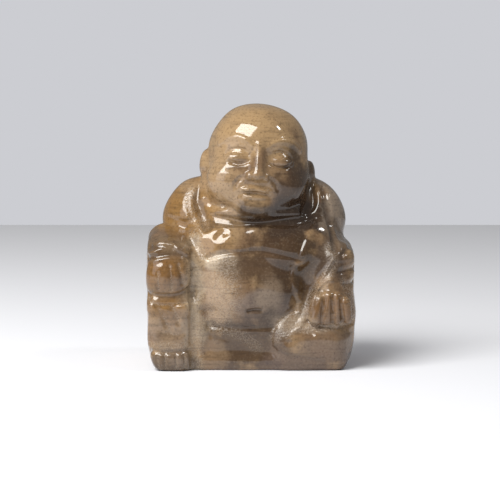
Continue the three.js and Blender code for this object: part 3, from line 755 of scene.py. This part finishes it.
def makePetrifiedWood():
    look = petrifiedWood
    material, tree, shader = emptyMaterial("polishedPetrifiedWood")
    place = addNode(tree, "TexCoord").outputs["Object"]

    def clouds(name):
        size, start, full, strength, detail, shift = patterns[name]
        at = addNode(tree, "VectorMath", {
            0: place, 1: tuple(1 / (side * mm) for side in size), 2: (shift,) * 3,
        }, operation="MULTIPLY_ADD").outputs[0]
        noise = addNode(tree, "TexNoise", {"Vector": at, "Scale": 1.0, "Detail": detail}).outputs["Fac"]
        return addNode(tree, "MapRange", {
            "Value": noise, "From Min": start, "From Max": full, "To Max": strength,
        }, interpolation_type="SMOOTHSTEP").outputs[0]

    # layers of colour, each over the one before: where it shows, and its colour
    layers = [(clouds("tan"), look["tan"])]
    zoneWaves = clouds("zoneWaves")
    full, gone = look["zoneEdge"]
    for middle, halves, shade, strength in stoneZones.values():
        toMiddle = addNode(tree, "VectorMath", {
            0: place, 1: tuple(v * mm for v in middle),
        }, operation="SUBTRACT").outputs[0]
        inHalves = addNode(tree, "VectorMath", {
            0: toMiddle, 1: tuple(v * mm for v in halves),
        }, operation="DIVIDE").outputs[0]
        away = addNode(tree, "VectorMath", {0: inHalves}, operation="LENGTH").outputs["Value"]
        wavy = addNode(tree, "Math", {0: away, 1: zoneWaves}, operation="ADD").outputs[0]
        inside = addNode(tree, "MapRange", {
            "Value": wavy, "From Min": full, "From Max": gone, "To Min": strength, "To Max": 0.0,
        }, interpolation_type="SMOOTHSTEP").outputs[0]
        layers.append((inside, shade))

    # grain, fibres and specks over every zone
    fine = {"darkGrain": "dark", "paleGrain": "dust", "fibres": "dark", "specks": "dark"}
    layers += [(clouds(name), look[shade]) for name, shade in fine.items()]

    # painted shade in the cuts, darker the deeper they go, and the marked places that the polish didn't reach,
    # broken up by scuffs
    start, full, strength = look["cutShade"]
    cutShade = addNode(tree, "MapRange", {
        "Value": addNode(tree, "Attribute", attribute_name="cutDepth").outputs["Fac"],
        "From Min": start, "From Max": full, "To Max": strength,
    }, interpolation_type="SMOOTHSTEP").outputs[0]
    layers.append((cutShade, look["dark"]))
    dull = addNode(tree, "Math", {
        0: clouds("scuffs"), 1: addNode(tree, "Attribute", attribute_name="marked").outputs["Fac"],
    }, operation="MULTIPLY").outputs[0]
    pale = addNode(tree, "Math", {0: dull, 1: look["pale"]}, operation="MULTIPLY").outputs[0]
    layers.append((pale, look["dust"]))

    colour = linear(look["brown"])
    for factor, shade in layers:
        colour = addNode(tree, "Mix", {0: factor, 6: colour, 7: linear(shade)}, data_type="RGBA").outputs[2]
    tree.links.new(colour, shader.inputs["Base Color"])

    rough = addNode(tree, "MapRange", {
        "Value": dull, "To Min": look["polish"], "To Max": look["unpolished"],
    }).outputs[0]
    worn = addNode(tree, "Math", {0: rough, 1: clouds("wear")}, operation="ADD").outputs[0]
    tree.links.new(worn, shader.inputs["Roughness"])
    bump = addNode(tree, "Bump", {
        "Height": clouds("pits"), "Distance": look["pitDepth"] * mm, "Strength": dull,
    })
    tree.links.new(bump.outputs["Normal"], shader.inputs["Normal"])
    shader.inputs["IOR"].default_value = look["ior"]
    shader.inputs["Specular IOR Level"].default_value = look["gloss"]
    print("stone:", len(stoneZones), "colour zones")
    return material


# Stage, light and camera

camera = {
    "distance": 420.0,                                    # mm
    "elevation": 6.0,                                     # degrees
    "aim": (-0.2, 0.0, 21.5),                             # mm, the middle of the picture
    "across": 94.3,                                       # mm that the picture takes in at the figure
    "sensor": 36,                                         # mm
}


def makeCamera():
    data = bpy.data.cameras.new("camera")
    eye = bpy.data.objects.new("camera", data)
    bpy.context.scene.collection.objects.link(eye)
    bpy.context.scene.camera = eye
    rise = radians(camera["elevation"])
    back = Vector((0, -cos(rise), sin(rise)))
    aim = Vector(camera["aim"]) * mm
    eye.location = aim + back * camera["distance"] * mm
    eye.rotation_euler = (-back).to_track_quat("-Z", "Y").to_euler()
    data.sensor_width = camera["sensor"]
    data.lens = data.sensor_width * camera["distance"] / camera["across"]
    data.clip_start, data.clip_end = 0.01, 20             # metres, to well past the floor's far edge
    print("camera:", round(data.lens), "mm lens")


# Matt card: pressed and uncoated, so it scatters the light evenly and shows no shine
stage = {
    "behind": 275.0,                                      # mm to the far edge, which makes the horizon
    "front": 900.0,
    "width": 1800.0,
    "card": "#f0f2f8",
    "roughness": 0.9,
    "gloss": 0.1,
}


def makeStage():
    half, near, far = stage["width"] / 2, -stage["front"], stage["behind"]
    corners = [(-half, near), (half, near), (half, far), (-half, far)]
    mesh = bpy.data.meshes.new("floorCard")
    mesh.from_pydata([Vector((x, y, 0)) * mm for x, y in corners], [], [(0, 1, 2, 3)])
    card = bpy.data.objects.new("floorCard", mesh)
    bpy.context.scene.collection.objects.link(card)
    material, tree, shader = emptyMaterial("mattWhiteCard")
    shader.inputs["Base Color"].default_value = linear(stage["card"])
    shader.inputs["Roughness"].default_value = stage["roughness"]
    shader.inputs["Specular IOR Level"].default_value = stage["gloss"]
    mesh.materials.append(material)
    print("stage: floor card")


lights = {
    # at: mm to the right, up and towards the viewer from the figure; size in mm and power in watts
    "window": {"at": (-178, 288, 178), "size": (250, 200), "power": 1.75, "colour": "#fffdf8"},
    "lamp": {"at": (230, 300, 50), "size": (45, 45), "power": 0.16, "colour": "#ffffff"},
    "fill": {"at": (-330, 130, 230), "size": (300, 260), "power": 0.36, "colour": "#f4f6ff"},
    "room": {"strength": 0.27, "colour": "#efedec", "wall": "#cccdd2"},
}


def makeLights():
    scene = bpy.context.scene
    # the room gives a low, even light, and its pale wall shows behind the floor
    world = bpy.data.worlds.new("room")
    world.use_nodes = True
    tree = world.node_tree
    tree.nodes.clear()
    room = addNode(tree, "Background", {
        "Color": linear(lights["room"]["colour"]), "Strength": lights["room"]["strength"],
    })
    wall = addNode(tree, "Background", {"Color": linear(lights["room"]["wall"])})
    seen = addNode(tree, "LightPath").outputs["Is Camera Ray"]
    both = addNode(tree, "MixShader", {0: seen, 1: room.outputs[0], 2: wall.outputs[0]})
    addNode(tree, "OutputWorld", {"Surface": both.outputs[0]})
    scene.world = world
    aim = Vector(camera["aim"]) * mm
    for name in ("window", "lamp", "fill"):
        light = lights[name]
        data = bpy.data.lights.new(name, "AREA")
        data.shape = "RECTANGLE"
        data.size, data.size_y = (side * mm for side in light["size"])
        data.energy = light["power"]
        data.color = linear(light["colour"])[:3]
        lamp = bpy.data.objects.new(name, data)
        scene.collection.objects.link(lamp)
        x, z, towards = (v * mm for v in light["at"])
        lamp.location = aim + Vector((x, -towards, z))
        lamp.rotation_euler = (aim - lamp.location).to_track_quat("-Z", "Y").to_euler()
    scene.view_settings.view_transform = "Standard"
    print("lights: window, lamp and fill")


makeCamera()
makeStage()
makeLights()
carving = carvedFigure()
carving.data.materials.clear()
carving.data.materials.append(makePetrifiedWood())
